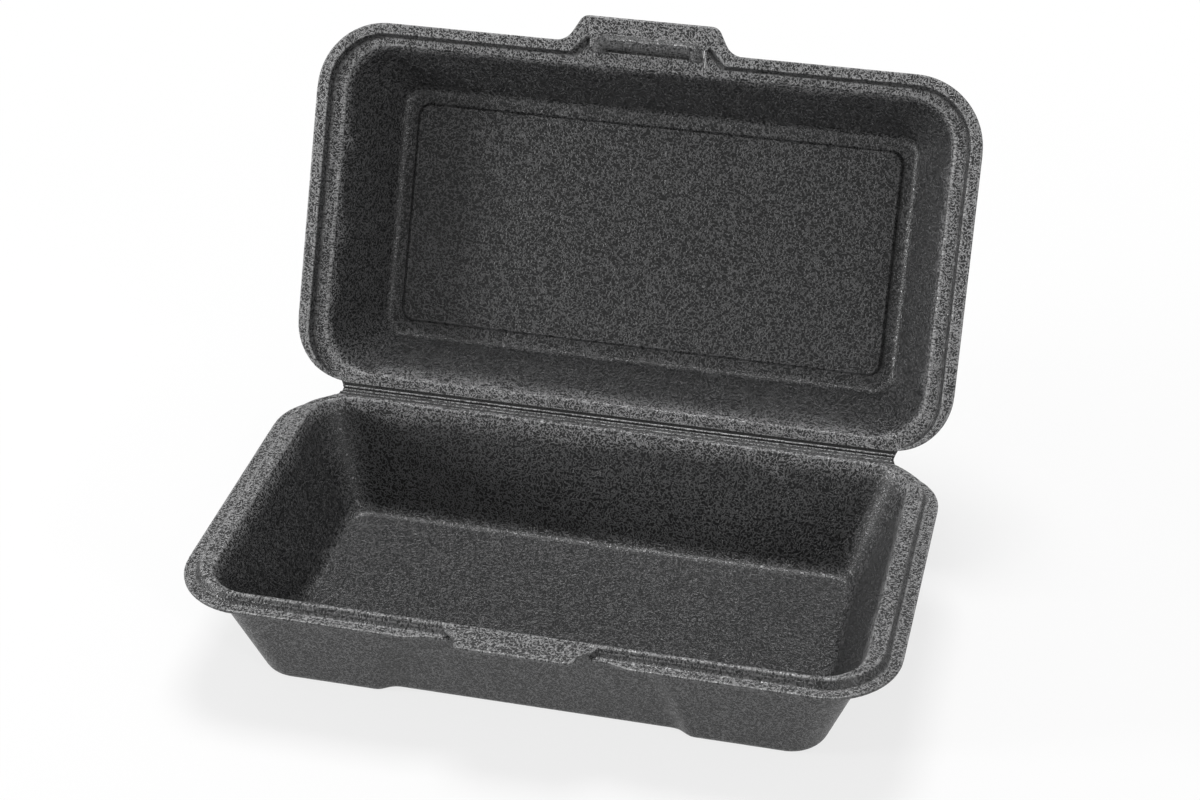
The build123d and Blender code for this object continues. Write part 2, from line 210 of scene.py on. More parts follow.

# %% [markdown]
# ## The living hinge
#
# The strip between the halves is the same foam, pressed to under half a millimetre, with
# three fine pleats along it. The real strip bends when the lid moves, so here it rides on
# neither half. It is made as one strip along a path: flat behind the tray's rim, round the fold
# and up the lid's plane. A row of numbers along the path gives its thickness. Each point also
# stores how deep in a groove it lies, for the painted shade in the grooves.

# %% Path and pleats of the hinge strip
STRIP_OFFSET = 0.6 * MM        # the strip's middle, from the fold line
STRIP_ROOT = 0.9 * MM          # how far it runs into each rim
WEB_HALF = 0.2 * MM            # half thickness in a groove
PLEATS = [                     # distance from the tray's rim, half width, extra half thickness
    (1.1 * MM, 0.55 * MM, 0.42 * MM),
    (3.0 * MM, 0.6 * MM, 0.5 * MM),
    (4.9 * MM, 0.5 * MM, 0.42 * MM),
]
PLEAT_CROWN = 1.2              # more than 1 narrows a pleat towards its crown
GROOVE_RISE = 0.3 * MM         # a pleat that rises this far is out of the groove
# the dark of a groove is painted shade
GROOVE_SHADE_WIDEN = 1.5              # more than 1 widens the full dark of a groove
WANDER = 0.15                  # share by which the thickness wanders
WANDER_ALONG = 4 * MM
WANDER_ACROSS = 2 * MM
END_SWEEP = 1.3 * MM           # the strip's ends curve in between the rims
PATH_STEPS = 64
LENGTH_STEPS = 220
BEND_ROUND = 1.0 * MM          # the path's bend is rounded over this length each side

tray_line = FOLD - Vector((0, 0, STRIP_OFFSET))
lid_line = FOLD + STRIP_OFFSET * THROUGH_LID
slide = (tray_line.z - lid_line.z) / ALONG_LID.z
bend = lid_line + ALONG_LID * slide
start = Vector((0, tray_edge.y - STRIP_ROOT, tray_line.z))
finish = lid_line + ALONG_LID * (LID_STRIP + STRIP_ROOT)
FLAT = (bend - start).length
TOTAL = FLAT + (finish - bend).length


def strip_place(distance):
    """Point and unit normal of the strip's middle line, at a distance from its start."""
    flat = (bend - start).normalized()
    share = min(1.0, max(0.0, (distance - FLAT + BEND_ROUND) / (2 * BEND_ROUND)))
    curve_start = bend - flat * BEND_ROUND
    curve_end = bend + ALONG_LID * BEND_ROUND
    if distance < FLAT - BEND_ROUND:
        point = start + flat * distance
    elif distance > FLAT + BEND_ROUND:
        point = bend + ALONG_LID * (distance - FLAT)
    else:
        point = (curve_start * (1 - share) ** 2 + bend * 2 * share * (1 - share)
                 + curve_end * share ** 2)
    heading = (flat * (1 - share) + ALONG_LID * share).normalized()
    return point, Vector((0, -heading.z, heading.y))


def strip_half(distance):
    """Half thickness of the strip at a distance from its start."""
    half = WEB_HALF
    for middle, width, extra in PLEATS:
        away = abs(distance - STRIP_ROOT - middle) / width
        if away < 1:
            half += extra * math.cos(away * math.pi / 2) ** PLEAT_CROWN
    return half


print("path of the strip:", round(FLAT / MM, 2), "mm flat and",
      round((TOTAL - FLAT) / MM, 2), "mm up the lid")

# %% Build the hinge strip


def hinge_strip():
    """The strip as a closed tube of quads, flattened to its section and capped at both ends."""
    mesh = bmesh.new()
    rings = []
    groove_shade = []
    for i in range(LENGTH_STEPS + 1):
        along = 2 * i / LENGTH_STEPS - 1
        ring = []
        for side in (1, -1):
            for j in range(PATH_STEPS + 1):
                distance = TOTAL * (j if side == 1 else PATH_STEPS - j) / PATH_STEPS
                sweep = END_SWEEP * math.sin(math.pi * distance / TOTAL)
                x = along * (HINGE_HALF + END_SWEEP / 2 - sweep)
                point, normal = strip_place(distance)
                spot = Vector((x / WANDER_ALONG, distance / WANDER_ACROSS, side))
                half = strip_half(distance) * (1 + WANDER * noise.noise(spot))
                ring.append(mesh.verts.new(point + Vector((x, 0, 0)) + normal * side * half))
                # painted shade in the grooves: 1 deep in a groove, 0 where a pleat has risen out
                # of it
                raised = (strip_half(distance) - WEB_HALF) / GROOVE_RISE
                groove_shade.append(min(1, max(0, 1 - raised) * GROOVE_SHADE_WIDEN))
        rings.append(ring)
    for near, far in zip(rings, rings[1:]):
        for k in range(len(near)):
            after = (k + 1) % len(near)
            mesh.faces.new((near[k], near[after], far[after], far[k]))
    for ring in (rings[0], rings[-1]):
        for j in range(PATH_STEPS):
            last = len(ring) - 1
            mesh.faces.new((ring[j], ring[j + 1], ring[last - j - 1], ring[last - j]))
    bmesh.ops.recalc_face_normals(mesh, faces=mesh.faces)
    data = bpy.data.meshes.new("hinge_strip")
    mesh.to_mesh(data)
    mesh.free()
    data.polygons.foreach_set("use_smooth", [True] * len(data.polygons))
    data.attributes.new("crease_shade", "FLOAT", "POINT").data.foreach_set("value", groove_shade)
    pressed_and_lit = data.attributes.new("pressed_and_lit", "FLOAT", "POINT")
    pressed_and_lit.data.foreach_set("value", [1.0] * len(groove_shade))
    piece = bpy.data.objects.new("hinge_strip", data)
    bpy.context.scene.collection.objects.link(piece)
    return piece


hinge_web = hinge_strip()
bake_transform(hinge_web)
print("hinge strip:", len(hinge_web.data.polygons), "faces over",
      round(TOTAL / MM, 2), "mm")

# %% [markdown]
# ## What the press did at each point, and where light and shade are painted
#
# The skin isn't the same all over. On every rounding it is stretched and shows short ripples
# across the edge, which are also painted paler as a painted highlight. Tight inner corners get
# painted shade. Outside the mouth, where flange, land and tab are pressed thin, the skin is
# denser and paler, and its level faces are painted paler still as painted light. A shader can't
# see any of these by itself, so they are measured on the mesh and stored as attributes. A mesh
# has tens of thousands of points, so the work is done on whole rows of numbers at a time.

# %% Rows of numbers from a mesh
TINY_AREA = 1e-12         # keeps a division by an area of nothing away
TINY = 1e-9               # and one by any other nothing


def rows_of(items, name, width, kind=float):
    """One row for each item of a mesh."""
    found = np.empty(len(items) * width, dtype=kind)
    items.foreach_get(name, found)
    return found.reshape(-1, width)


def neighbour_mean(values, one, other, counts):
    """The mean of each vertex's neighbours, column by column."""
    total = np.empty_like(values)
    for column in range(values.shape[1]):
        line = values[:, column]
        total[:, column] = (np.bincount(one, line[other], len(values))
                            + np.bincount(other, line[one], len(values)))
    return total / counts[:, None]


def smooth_step(value, low, high):
    """0 below low, 1 above high and smooth between."""
    share = np.clip((value - low) / (high - low), 0, 1)
    return share * share * (3 - 2 * share)


for shell in (tray_shell, lid_shell):
    print(shell.name, "has", len(rows_of(shell.data.vertices, "co", 3)), "points")

# %% [markdown]
# How much the normals turn around a point gives the rounding, and the direction in which they
# don't turn is the way the edge runs. Both come out of one small matrix for each point, made
# from the change of the normal along each of its edges. Normals that lean towards each other
# mark an inner corner. A face that is itself flat doesn't take the rounding of its corners.

# %% How the surface turns
SHARPEST = 650.0          # sharper edges than this count as this, per metre
SPREAD_TURNS = 2
BENT_SOFT = 50.0          # a face that turns less than this per metre is flat
BENT_FULL = 180.0
PRODUCTS = [(0, 0), (0, 1), (0, 2), (1, 1), (1, 2), (2, 2)]


def bending(points, normals, one, other):
    """For each point a matrix of how the surface turns, and how far its normals lean in."""
    count = len(points)
    step = points[other] - points[one]
    change = normals[other] - normals[one]
    scale = 1 / np.maximum((step ** 2).sum(axis=1), TINY_AREA)
    turning = np.stack([change[:, a] * change[:, b] * scale for a, b in PRODUCTS], axis=1)
    size = turning[:, 0] + turning[:, 3] + turning[:, 5]
    turning *= np.minimum(1, SHARPEST ** 2 / np.maximum(size, TINY))[:, None]
    counts = np.maximum(np.bincount(one, minlength=count)
                        + np.bincount(other, minlength=count), 1)
    tensor = np.stack([np.bincount(one, turning[:, k], count)
                       + np.bincount(other, turning[:, k], count)
                       for k in range(len(PRODUCTS))], axis=1) / counts[:, None]
    lean = np.clip((change * step).sum(axis=1) * scale, -2 * SHARPEST, 2 * SHARPEST)
    lean = (np.bincount(one, lean, count) + np.bincount(other, lean, count)) / counts
    tensor = np.column_stack([tensor, lean])
    for _ in range(SPREAD_TURNS):
        tensor = (tensor + neighbour_mean(tensor, one, other, counts)) / 2
    full = np.empty((count, 3, 3))
    for k, (a, b) in enumerate(PRODUCTS):
        full[:, a, b] = tensor[:, k]
        full[:, b, a] = tensor[:, k]
    return full, -tensor[:, -1]


def bent_faces(data, points, normals):
    """For each face corner its vertex, and how far its face turns: 0 flat, 1 round."""
    vertex = rows_of(data.loops, "vertex_index", 1, np.int64).ravel()
    totals = rows_of(data.polygons, "loop_total", 1, np.int64).ravel()
    areas = rows_of(data.polygons, "area", 1).ravel()
    starts = np.cumsum(totals) - totals
    ahead = np.arange(len(vertex)) + 1
    ahead[starts + totals - 1] = starts
    side = np.linalg.norm(points[vertex[ahead]] - points[vertex], axis=1)
    turned = np.linalg.norm(normals[vertex[ahead]] - normals[vertex], axis=1)
    longest = np.maximum.reduceat(side, starts)
    most = np.maximum.reduceat(turned, starts)
    bent = most * longest / np.maximum(2 * areas, TINY_AREA)
    return vertex, np.repeat(smooth_step(bent, BENT_SOFT, BENT_FULL), totals)


print("a rounding of", round(1000 / SHARPEST, 1), "mm radius counts as the sharpest")

# %% [markdown]
# The pressed rim is everything outside the mouth's outline, a rounded rectangle. Its paler
# colour is partly the denser pressed skin and partly painted light. Laid shut, both halves have
# that outline level, so one distance in plan finds it. Further out only level faces belong to
# it, since the outer walls begin there too, so the level faces carry painted light from above
# and the upright faces of the steps stay dark as painted shade. The pale band also starts a
# little inside the mouth, as a painted highlight on the mouth's rounding.

# %% The pressed rim
PRESSED_FROM = -3.0 * MM  # distance outside the mouth where the pressed skin begins
PRESSED_FULL = -0.6 * MM
FLANGE_FROM = 0.8 * MM    # from here on only level faces are pressed
# level faces take the rim's painted light; upright faces of the steps keep the dark body colour
# as painted shade
LEVEL_SOFT = 0.45         # upright share of a normal where its face begins to count as level
LEVEL_FULL = 0.9
RIM_FADE_LOW = 1.5 * MM
RIM_FADE_HIGH = 1.0 * MM


def outside(points, half, front, back, corner):
    """Distance outside a rounded rectangle in plan, in metres, negative inside."""
    middle = (front + back) / 2
    across = np.abs(points[:, 0]) - (half - corner)
    deep = np.abs(points[:, 1] - middle) - ((back - front) / 2 - corner)
    beyond = np.hypot(np.maximum(across, 0), np.maximum(deep, 0))
    return beyond + np.minimum(np.maximum(across, deep), 0) - corner


def pressed_and_lit_rim(laid, upright, mouth, low, high):
    """1 on the pressed rim, whose paler colour is partly painted light, and 0 elsewhere, for
    points and normals that are laid shut.
    """
    away = outside(laid, *mouth)
    level = smooth_step(np.abs(upright), LEVEL_SOFT, LEVEL_FULL)
    return (smooth_step(away, PRESSED_FROM, PRESSED_FULL)
            * np.where(away > FLANGE_FROM, level, 1)
            * smooth_step(laid[:, 2], low, low + RIM_FADE_LOW)
            * (1 - smooth_step(laid[:, 2], high, high + RIM_FADE_HIGH)))


print("pressed skin from", round(PRESSED_FROM / MM, 1), "mm outside the mouth")

# %% Store what was measured
ROUND_SOFT = 130.0        # curvature per metre where a rounding begins to show
ROUND_FULL = 450.0        # curvature per metre of a fully rippled rounding
# the darkening of inner corners is painted shade
CREASE_SHADE_SOFT = 250.0       # lean per metre where an inner corner begins to darken
CREASE_SHADE_FULL = 800.0


def measure(piece, shut, mouth, low, high):
    """Store roundings, the painted shade of inner corners, the way each edge runs and the
    pressed, partly painted-light rim.
    """
    data = piece.data
    points = rows_of(data.vertices, "co", 3)
    normals = rows_of(data.vertex_normals, "vector", 3)
    one, other = rows_of(data.edges, "vertices", 2, np.int64).T
    full, lean = bending(points, normals, one, other)
    strength, ways = np.linalg.eigh(full)
    curvature = np.sqrt(np.maximum(strength[:, 2], 0) * 2)
    rounding = smooth_step(curvature, ROUND_SOFT, ROUND_FULL)
    crease_shade = smooth_step(2 * lean, CREASE_SHADE_SOFT, CREASE_SHADE_FULL)
    turn = np.array(shut.to_3x3())
    run = np.cross(normals, ways[:, :, 2]) @ turn.T
    run = run ** 2 / np.maximum((run ** 2).sum(axis=1), TINY)[:, None]
    laid = points @ turn.T + np.array(shut.translation)
    pressed_and_lit = pressed_and_lit_rim(laid, (normals @ turn.T)[:, 2], mouth, low, high)
    data.attributes.new("edge_run", "FLOAT_VECTOR", "POINT").data.foreach_set(
        "vector", run.astype(np.float32).ravel())
    vertex, bent = bent_faces(data, points, normals)
    for label, domain, values in (("rounding", "CORNER", rounding[vertex] * bent),
                                  ("crease_shade", "CORNER", crease_shade[vertex] * bent),
                                  ("pressed_and_lit", "POINT", pressed_and_lit)):
        made = data.attributes.new(label, "FLOAT", domain)
        made.data.foreach_set("value", values.astype(np.float32))
        print(piece.name, label, "on average", round(float(values.mean()), 3))


# Half length, latch side, hinge side and corner radius of each mouth, in mm, shut. The two
# levels after them are where the pressed rim begins and ends in height.
TRAY_MOUTH = [value * MM for value in (108.8, -59.0, 61.6, 15.0)]
LID_MOUTH = [value * MM for value in (110.0, -58.3, 61.3, 17.0)]
measure(tray_shell, Matrix.Identity(4), TRAY_MOUTH, 37.9 * MM, 60 * MM)
measure(lid_shell, SHUT_LID, LID_MOUTH, 38.7 * MM, 45.6 * MM)

# %% [markdown]
# ## The pressed skin
#
# Pressed foam shows flattened cells: a fine, worm-like grain about a millimetre wide that
# catches the light as speckles, over a slower unevenness. Roundings show the same foam pulled
# into short ripples. Both effects are shader node groups with named inputs, which every
# material of the foam shares. They give out masks from 0 to 1 and no shader, and a mask serves
# as a height for the Bump node and as a mix of two colours, which paints the speckles and the
# ripples' highlights into the colour.

# %% Small tools for node trees


def socket(group, name, kind, value=None, output=False):
    """Add a named socket to a node group."""
    made = group.interface.new_socket(
        name=name, in_out="OUTPUT" if output else "INPUT", socket_type=kind
    )
    if value is not None:
        made.default_value = value
    return made


def sum_node(tree, operation, first, second):
    """A Math node whose inputs are sockets or plain numbers."""
    made = tree.nodes.new("ShaderNodeMath")
    made.operation = operation
    for place, given in enumerate((first, second)):
        if isinstance(given, (int, float)):
            made.inputs[place].default_value = given
        else:
            tree.links.new(given, made.inputs[place])
    return made.outputs[0]


def fold_lines(tree, height, width):
    """Soft ridges where a noise crosses its middle value, which read as worm-like folds."""
    away = sum_node(tree, "ABSOLUTE", sum_node(tree, "SUBTRACT", height, 0.5), 0.0)
    made = tree.nodes.new("ShaderNodeMapRange")
    made.interpolation_type = "SMOOTHSTEP"
    made.inputs["From Min"].default_value = 0.0
    made.inputs["From Max"].default_value = width
    made.inputs["To Min"].default_value = 1.0
    made.inputs["To Max"].default_value = 0.0
    tree.links.new(away, made.inputs["Value"])
    return made.outputs["Result"]


print("tools for node trees are ready:", ", ".join(
    tool.__name__ for tool in (socket, sum_node, fold_lines)))

# %% Node group for the grain
GRAIN_SCALE = 920.0       # noise cells per metre, for worms about a millimetre long
SLOW_SCALE = 90.0
GRAIN_WIDTH = 0.12        # how far from its middle the noise still makes a fold


def grain_group():
    """Leathery grain: worm-like folds, and a slow unevenness."""
    group = bpy.data.node_groups.new("foam_grain", "ShaderNodeTree")
    socket(group, "Vector", "NodeSocketVector")
    socket(group, "Grain Scale", "NodeSocketFloat", GRAIN_SCALE)
    socket(group, "Slow Scale", "NodeSocketFloat", SLOW_SCALE)
    socket(group, "Folds", "NodeSocketFloat", output=True)
    socket(group, "Slow", "NodeSocketFloat", output=True)
    inside = group.nodes.new("NodeGroupInput")
    outlet = group.nodes.new("NodeGroupOutput")

    fine = group.nodes.new("ShaderNodeTexNoise")
    fine.inputs["Detail"].default_value = 1.0
    fine.inputs["Distortion"].default_value = 0.3
    group.links.new(inside.outputs["Vector"], fine.inputs["Vector"])
    group.links.new(inside.outputs["Grain Scale"], fine.inputs["Scale"])
    folds = fold_lines(group, fine.outputs["Fac"], GRAIN_WIDTH)
    group.links.new(folds, outlet.inputs["Folds"])

    slow = group.nodes.new("ShaderNodeTexNoise")
    slow.inputs["Detail"].default_value = 2.0
    group.links.new(inside.outputs["Vector"], slow.inputs["Vector"])
    group.links.new(inside.outputs["Slow Scale"], slow.inputs["Scale"])
    group.links.new(slow.outputs["Fac"], outlet.inputs["Slow"])
    return group


foam_grain = grain_group()
print("grain group sockets:", [item.name for item in foam_grain.interface.items_tree])

# %% [markdown]
# The ripples run across an edge, so they change quickly along it and slowly over it. One
# stretched noise does that for one direction. Three of them, one for each axis, are weighed
# by how far the edge runs along that axis.

# %% Node group for the ripples
RIPPLE_SCALE = 800.0
RIPPLE_STRETCH = 0.25     # below 1 draws the ripples out across the edge
RIPPLE_WIDTH = 0.13


def ripple_group():
    """Short ripples across an edge, for any way the edge runs."""
    group = bpy.data.node_groups.new("edge_ripples", "ShaderNodeTree")
    socket(group, "Vector", "NodeSocketVector")
    socket(group, "Edge Run", "NodeSocketVector")
    socket(group, "Ripple Scale", "NodeSocketFloat", RIPPLE_SCALE)
    socket(group, "Stretch", "NodeSocketFloat", RIPPLE_STRETCH)
    socket(group, "Ripples", "NodeSocketFloat", output=True)
    inside = group.nodes.new("NodeGroupInput")
    outlet = group.nodes.new("NodeGroupOutput")
    weights = group.nodes.new("ShaderNodeSeparateXYZ")
    group.links.new(inside.outputs["Edge Run"], weights.inputs[0])
    total = 0.0
    for axis in range(3):
        factors = group.nodes.new("ShaderNodeCombineXYZ")
        for place in range(3):
            if place == axis:
                factors.inputs[place].default_value = 1.0
            else:
                group.links.new(inside.outputs["Stretch"], factors.inputs[place])
        stretched = group.nodes.new("ShaderNodeVectorMath")
        stretched.operation = "MULTIPLY"
        group.links.new(inside.outputs["Vector"], stretched.inputs[0])
        group.links.new(factors.outputs[0], stretched.inputs[1])
        waves = group.nodes.new("ShaderNodeTexNoise")
        waves.inputs["Detail"].default_value = 1.0
        group.links.new(stretched.outputs[0], waves.inputs["Vector"])
        group.links.new(inside.outputs["Ripple Scale"], waves.inputs["Scale"])
        lines = fold_lines(group, waves.outputs["Fac"], RIPPLE_WIDTH)
        part = sum_node(group, "MULTIPLY", lines, weights.outputs[axis])
        total = sum_node(group, "ADD", part, total)
    group.links.new(total, outlet.inputs["Ripples"])
    return group


edge_ripples = ripple_group()
print("ripple group sockets:", [item.name for item in edge_ripples.interface.items_tree])

# %% [markdown]
# The slot under the bar is a deep narrow opening that lets no light back out, and it is too
# narrow for the mesh to hold a value of its own. A third group answers whether a point lies in
# a small box, so that a material can paint the slot's shade black there.

# %% Node group for a small box
BOX_SOFTNESS = 0.3 * MM


def box_group():
    """1 inside a box and 0 outside, with soft sides."""
    group = bpy.data.node_groups.new("small_box", "ShaderNodeTree")
    socket(group, "Vector", "NodeSocketVector")
    socket(group, "Middle", "NodeSocketVector")
    socket(group, "Half Size", "NodeSocketVector")
    socket(group, "Softness", "NodeSocketFloat", BOX_SOFTNESS)
    socket(group, "Inside", "NodeSocketFloat", output=True)
    inside = group.nodes.new("NodeGroupInput")
    outlet = group.nodes.new("NodeGroupOutput")
    made = inside.outputs["Vector"]
    for operation, other in (("SUBTRACT", "Middle"), ("ABSOLUTE", None),
                             ("SUBTRACT", "Half Size")):
        step = group.nodes.new("ShaderNodeVectorMath")
        step.operation = operation
        group.links.new(made, step.inputs[0])
        if other:
            group.links.new(inside.outputs[other], step.inputs[1])
        made = step.outputs[0]
    parts = group.nodes.new("ShaderNodeSeparateXYZ")
    group.links.new(made, parts.inputs[0])
    beyond = sum_node(group, "MAXIMUM", parts.outputs["X"], parts.outputs["Y"])
    beyond = sum_node(group, "MAXIMUM", beyond, parts.outputs["Z"])
    soft = group.nodes.new("ShaderNodeMapRange")
    soft.inputs["To Min"].default_value = 1.0
    soft.inputs["To Max"].default_value = 0.0
    group.links.new(beyond, soft.inputs["Value"])
    group.links.new(inside.outputs["Softness"], soft.inputs["From Max"])
    group.links.new(soft.outputs["Result"], outlet.inputs["Inside"])
    return group


small_box = box_group()
print("box group sockets:", [item.name for item in small_box.interface.items_tree])

# %% [markdown]
# ## The foam itself
#
# The foam is coloured through with carbon black, so it is nearly black with a trace of cold
# grey, and its skin is satin. The tops of the grain are polished by the press, so they are
# smoother than the hollows. They are also painted paler, partly as the grain's own tone and
# partly as painted glints, and the ripples of the roundings are painted paler the same way, as a
# painted highlight. The pressed rim is paler still, partly from its denser skin and partly as
# painted light. Inner corners, the hinge's grooves and the slot under the bar turn black as
# painted shade. The tray and the lid share one material function, but each has its own
# material, because the lid's texture has to be laid out along the lid, as if it were shut. The
# strip of the hinge is pressed hardest, so its skin has the finest grain. A material's four
# measures are its roughness and the depths of grain, ripples and slow unevenness in millimetres.

# %% Foam colours
# The tops' colours are partly the grain's own paler tone and partly painted glints. The rim's
# colours are partly its denser skin and partly painted light.
FOAM_DARK = (0.008, 0.0082, 0.0086)
FOAM_TOPS_AND_GLINTS = (0.105, 0.105, 0.1065)
RIM_DARK = (0.02, 0.02, 0.0205)
RIM_TOPS_AND_GLINTS = (0.31, 0.31, 0.312)
# painted shade: the black that inner corners, the hinge's grooves and the slot under the bar
# turn to
PAINTED_SHADE_BLACK = (0.004, 0.004, 0.0042)
SLOT_SHADE = ((0, -63.7, 42.8), (18.4, 0.35, 1.6))      # middle and half size, in mm, shut


def mixed(tree, factor, first, second):
    """A colour mix between sockets or plain colours."""
    made = tree.nodes.new("ShaderNodeMix")
    made.data_type = "RGBA"
    for name, given in (("A", first), ("B", second)):
        if isinstance(given, tuple):
            made.inputs[name].default_value = (*given, 1)
        else:
            tree.links.new(given, made.inputs[name])
    tree.links.new(factor, made.inputs["Factor"])
    return made.outputs["Result"]


def stored(tree, label, output="Fac"):
    """A value that was measured on the mesh."""
    made = tree.nodes.new("ShaderNodeAttribute")
    made.attribute_name = label
    return made.outputs[output]


def grouped(tree, group, vector):
    """A node group that is laid out along a vector."""
    made = tree.nodes.new("ShaderNodeGroup")
    made.node_tree = group
    tree.links.new(vector, made.inputs["Vector"])
    return made


print("foam colours from", FOAM_DARK, "to", RIM_TOPS_AND_GLINTS)

# %% Foam materials
SHEEN = 0.54              # the skin reflects a little more than plain plastic, which is 0.5
HOLLOWS_ROUGHER = 0.16    # added roughness in the hollows of the grain
# how much painted shade an inner corner and a groove of the hinge take
CORNER_SHADE_SHARE = 0.65       # how far an inner corner turns to black
GROOVE_SHADE_SHARE = 1.0        # and how far a groove of the hinge does


def foam_material(name, shut, roughness, grain_mm, ripple_mm, slow_mm, corner_shade_share, shade_box=None):
    """Satin black foam: grain and ripples in bump, colour and roughness; the colour also holds
    painted glints, highlights, light and shade.
    """
    material = bpy.data.materials.new(name)
    material.use_nodes = True
    tree = material.node_tree
    shader = tree.nodes["Principled BSDF"]
    shader.inputs["Specular IOR Level"].default_value = SHEEN

    place = tree.nodes.new("ShaderNodeTexCoord")
    mapping = tree.nodes.new("ShaderNodeMapping")
    mapping.inputs["Rotation"].default_value = shut.to_euler()
    mapping.inputs["Location"].default_value = shut.translation
    tree.links.new(place.outputs["Object"], mapping.inputs["Vector"])
    laid = mapping.outputs["Vector"]
    grain = grouped(tree, foam_grain, laid)
    ripples = grouped(tree, edge_ripples, laid)
    tree.links.new(stored(tree, "edge_run", "Vector"), ripples.inputs["Edge Run"])
    folds = grain.outputs["Folds"]
    waves = sum_node(tree, "MULTIPLY", ripples.outputs["Ripples"], stored(tree, "rounding"))

    height = sum_node(tree, "MULTIPLY", folds, grain_mm)
    for mask, depth_mm in ((waves, ripple_mm), (grain.outputs["Slow"], slow_mm)):
        height = sum_node(tree, "ADD", height, sum_node(tree, "MULTIPLY", mask, depth_mm))
    bump = tree.nodes.new("ShaderNodeBump")
    bump.inputs["Strength"].default_value = 1.0
    bump.inputs["Distance"].default_value = MM
    tree.links.new(height, bump.inputs["Height"])
    tree.links.new(bump.outputs["Normal"], shader.inputs["Normal"])

    # crests of grain and ripples are painted paler: partly the grain's tone, partly painted
    # glints and a painted highlight along the roundings
    crest = sum_node(tree, "MAXIMUM", folds, waves)
    glint_speck = sum_node(tree, "MULTIPLY", crest, crest)
    body = mixed(tree, glint_speck, FOAM_DARK, FOAM_TOPS_AND_GLINTS)
    rim = mixed(tree, glint_speck, RIM_DARK, RIM_TOPS_AND_GLINTS)
    # the pressed rim's paler colour: partly its denser skin, partly painted light on its level
    # faces and a painted highlight on the mouth's rounding
    skin = mixed(tree, stored(tree, "pressed_and_lit"), body, rim)
    # painted shade: inner corners are mixed towards black
    corner = sum_node(tree, "MULTIPLY", stored(tree, "crease_shade"), corner_shade_share)
    # painted shade: the slot under the bar turns black
    if shade_box:
        box = grouped(tree, small_box, laid)
        for name, values in zip(("Middle", "Half Size"), shade_box):
            box.inputs[name].default_value = [value * MM for value in values]
        corner = sum_node(tree, "MAXIMUM", corner, box.outputs["Inside"])
    tree.links.new(mixed(tree, corner, skin, PAINTED_SHADE_BLACK), shader.inputs["Base Color"])

    polish = tree.nodes.new("ShaderNodeMapRange")
    polish.inputs["To Min"].default_value = roughness + HOLLOWS_ROUGHER
    polish.inputs["To Max"].default_value = roughness
    tree.links.new(crest, polish.inputs["Value"])
    tree.links.new(polish.outputs["Result"], shader.inputs["Roughness"])
    return material


tray_foam = foam_material("tray_foam", Matrix(), 0.24, 0.1, 0.09, 0.3, CORNER_SHADE_SHARE)
lid_foam = foam_material("lid_foam", SHUT_LID, 0.24, 0.1, 0.09, 0.3, CORNER_SHADE_SHARE, SLOT_SHADE)
hinge_foam = foam_material("hinge_foam", Matrix(), 0.26, 0.03, 0.0, 0.2, GROOVE_SHADE_SHARE)
for piece, foam in ((tray_shell, tray_foam), (lid_shell, lid_foam), (hinge_web, hinge_foam)):
    piece.data.materials.clear()
    piece.data.materials.append(foam)
print("foam on", [piece.name for piece in (tray_shell, lid_shell, hinge_web)])

# %% [markdown]
# ## White sweep
#
# The floor is white and keeps a soft shadow under the container. Its material shows the camera
# some plain white over its own lit colour, as a bright backdrop does, so the shadow stays light
# without any more light on the foam.

# %% Floor and backdrop
FLOOR_HALF = 4.0
FLOOR_WHITE = (0.86, 0.86, 0.86, 1)
GLOW_NEAR = 0.76         # share of plain white in the floor beside the container
GLOW_FROM = 0.16         # metres from the middle where the share begins to grow
GLOW_FULL = 0.55         # metres from the middle where it is all white
GLOW_IN_SHEEN = 0.7      # the foam's sheen shows the floor darker than the camera does
floor_data = bpy.data.meshes.new("floor")
floor_data.from_pydata(
    [(-FLOOR_HALF, -FLOOR_HALF, 0), (FLOOR_HALF, -FLOOR_HALF, 0),
     (FLOOR_HALF, FLOOR_HALF, 0), (-FLOOR_HALF, FLOOR_HALF, 0)],
    [], [(0, 1, 2, 3)],
)
floor = bpy.data.objects.new("floor", floor_data)
bpy.context.scene.collection.objects.link(floor)
print("floor", 2 * FLOOR_HALF, "metres wide")

# %% White floor material


def seen_directly(tree):
    """1 for rays from the camera and through glass, less in a sheen, 0 for light."""
    ray = tree.nodes.new("ShaderNodeLightPath")
    seen = sum_node(tree, "MAXIMUM", ray.outputs["Is Camera Ray"],
                    ray.outputs["Is Transmission Ray"])
    sheen = sum_node(tree, "MULTIPLY", ray.outputs["Is Glossy Ray"], GLOW_IN_SHEEN)
    return sum_node(tree, "MAXIMUM", seen, sheen)


floor_paint = bpy.data.materials.new("white_sweep")
floor_paint.use_nodes = True
floor_tree = floor_paint.node_tree
floor_shader = floor_tree.nodes["Principled BSDF"]
floor_shader.inputs["Base Color"].default_value = FLOOR_WHITE
floor_shader.inputs["Roughness"].default_value = 0.9
floor_shader.inputs["Specular IOR Level"].default_value = 0.0
glow = floor_tree.nodes.new("ShaderNodeEmission")
glow.inputs["Color"].default_value = (1, 1, 1, 1)
glow.inputs["Strength"].default_value = 1.0
blend_in = floor_tree.nodes.new("ShaderNodeMixShader")
where = floor_tree.nodes.new("ShaderNodeTexCoord")
away = floor_tree.nodes.new("ShaderNodeVectorMath")
away.operation = "LENGTH"
floor_tree.links.new(where.outputs["Object"], away.inputs[0])
spread = floor_tree.nodes.new("ShaderNodeMapRange")
spread.interpolation_type = "SMOOTHSTEP"
spread.inputs["From Min"].default_value = GLOW_FROM
spread.inputs["From Max"].default_value = GLOW_FULL
spread.inputs["To Min"].default_value = GLOW_NEAR
spread.inputs["To Max"].default_value = 1.0
floor_tree.links.new(away.outputs["Value"], spread.inputs["Value"])
share = sum_node(floor_tree, "MULTIPLY", seen_directly(floor_tree), spread.outputs["Result"])
